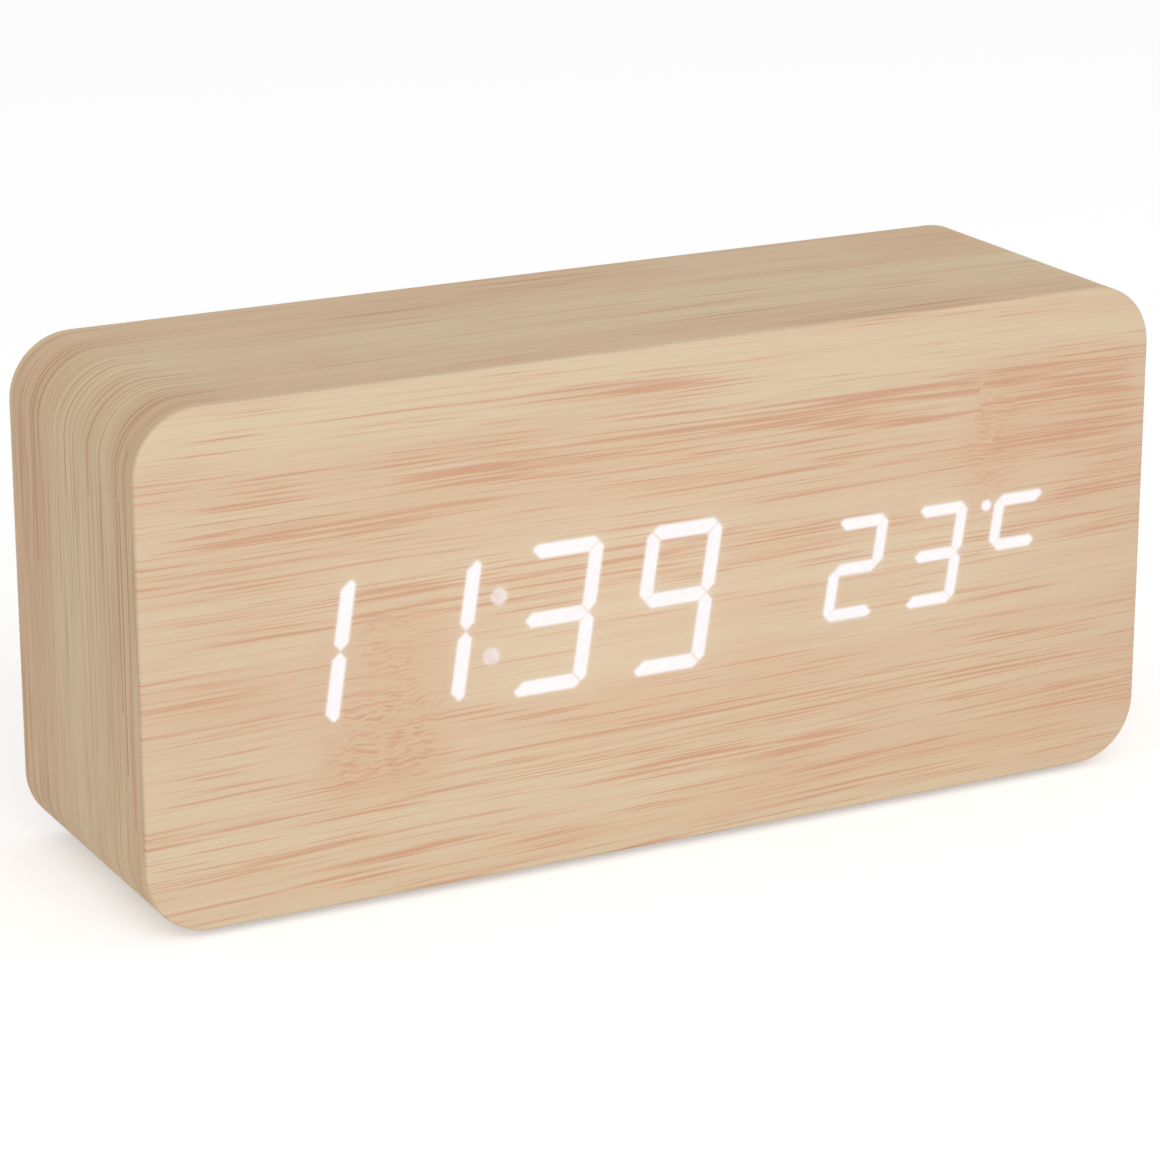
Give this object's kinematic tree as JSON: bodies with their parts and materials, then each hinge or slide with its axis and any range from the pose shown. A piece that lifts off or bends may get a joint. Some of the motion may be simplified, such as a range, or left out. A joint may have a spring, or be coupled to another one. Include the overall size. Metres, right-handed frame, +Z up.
{
  "type": "digital led desk clock",
  "caption": "Rounded wood-look block clock that shows time and temperature in lit bars through its front, with keys at the back and a battery door below.",
  "frame": {"origin": "under the middle of the clock's outline, on the surface that its feet stand on", "axes": "+Z up, +X to the right seen from the front, the display faces -Y"},
  "size_m": [0.15, 0.045, 0.07],
  "materials": {
    "fibreboard": "plain fibreboard",
    "band_wood": "bamboo-look sheet, satin",
    "front_wood": "bamboo-look sheet, satin",
    "rear_wood": "bamboo-look sheet, satin",
    "dark_steel": "blackened",
    "plated_steel": "nickel plated",
    "foot_pad": "soft pad",
    "white_plastic": "moulded",
    "dark_bars": "milky resin, unlit",
    "lit_bars": "milky resin, lit white",
    "dim_light": "milky resin, dimly lit",
    "chip_resin": "clear resin",
    "circuit_board": "solder mask",
    "black_plastic": "moulded",
    "chip_body": "moulded",
    "capacitor_sleeve": "shrunk sleeve",
    "ribbon_grey": "flat cable",
    "contact_brass": "turned",
    "sensor_resin": "dipped",
    "cell_wrap": "plain printed can",
    "red_wire": "insulation",
    "black_wire": "insulation"
  },
  "bodies": {
    "clock": {"band_veneer": "band_wood", "battery_cells": "cell_wrap", "battery_tray": "black_plastic", "board_screws": "plated_steel", "buzzer": "black_plastic", "capacitors": "capacitor_sleeve", "case_shell": "fibreboard", "celsius_bars": "lit_bars", "clock_chip": "chip_body", "coin_cell": "plated_steel", "coin_cell_holder": "black_plastic", "colon_dots": "dim_light", "contact_bridge": "plated_steel", "contact_links": "plated_steel", "contact_springs": "plated_steel", "contact_terminals": "plated_steel", "crystal": "plated_steel", "degree_dot": "lit_bars", "display_board": "circuit_board", "display_driver": "chip_body", "display_header": "white_plastic", "down_switch": "black_plastic", "feet": "foot_pad", "front_veneer": "front_wood", "hour_tens_bars": "lit_bars", "hour_units_bars": "lit_bars", "jack_pin": "contact_brass", "key_board": "circuit_board", "key_board_screws": "plated_steel", "key_board_standoffs": "black_plastic", "key_header": "white_plastic", "led_chips": "chip_resin", "link_cable": "ribbon_grey", "microphone": "plated_steel", "minute_tens_bars": "lit_bars", "minute_units_bars": "lit_bars", "negative_lead": "black_wire", "positive_lead": "red_wire", "power_jack": "black_plastic", "rear_panel": "fibreboard", "rear_screws": "dark_steel", "rear_veneer": "rear_wood", "resistors": "chip_body", "segment_housing": "white_plastic", "set_switch": "black_plastic", "temperature_tens_bars": "lit_bars", "temperature_units_bars": "lit_bars", "thermistor": "sensor_resin", "tray_screws": "dark_steel", "unlit_bars": "dark_bars", "up_switch": "black_plastic"},
    "set_key": {"set_button": "black_plastic", "set_plunger": "black_plastic"},
    "up_key": {"up_button": "black_plastic", "up_plunger": "black_plastic"},
    "down_key": {"down_button": "black_plastic", "down_plunger": "black_plastic"},
    "door": {"battery_door": "black_plastic"}
  },
  "joints": [
    {"name": "set_press", "type": "slide", "parent": "clock", "child": "set_key", "axis": [0, -1, 0], "range_m": [0, 0.0005], "stiffness_N_per_m": 400, "springref_m": -0.003},
    {"name": "up_press", "type": "slide", "parent": "clock", "child": "up_key", "axis": [0, -1, 0], "range_m": [0, 0.0005], "stiffness_N_per_m": 400, "springref_m": -0.003},
    {"name": "down_press", "type": "slide", "parent": "clock", "child": "down_key", "axis": [0, -1, 0], "range_m": [0, 0.0005], "stiffness_N_per_m": 400, "springref_m": -0.003},
    {"name": "battery_door_hinge", "type": "hinge", "parent": "clock", "child": "door", "pos_m": [0, -0.01015, 0.002], "axis": [-1, 0, 0], "range_deg": [0, 95]}
  ]
}
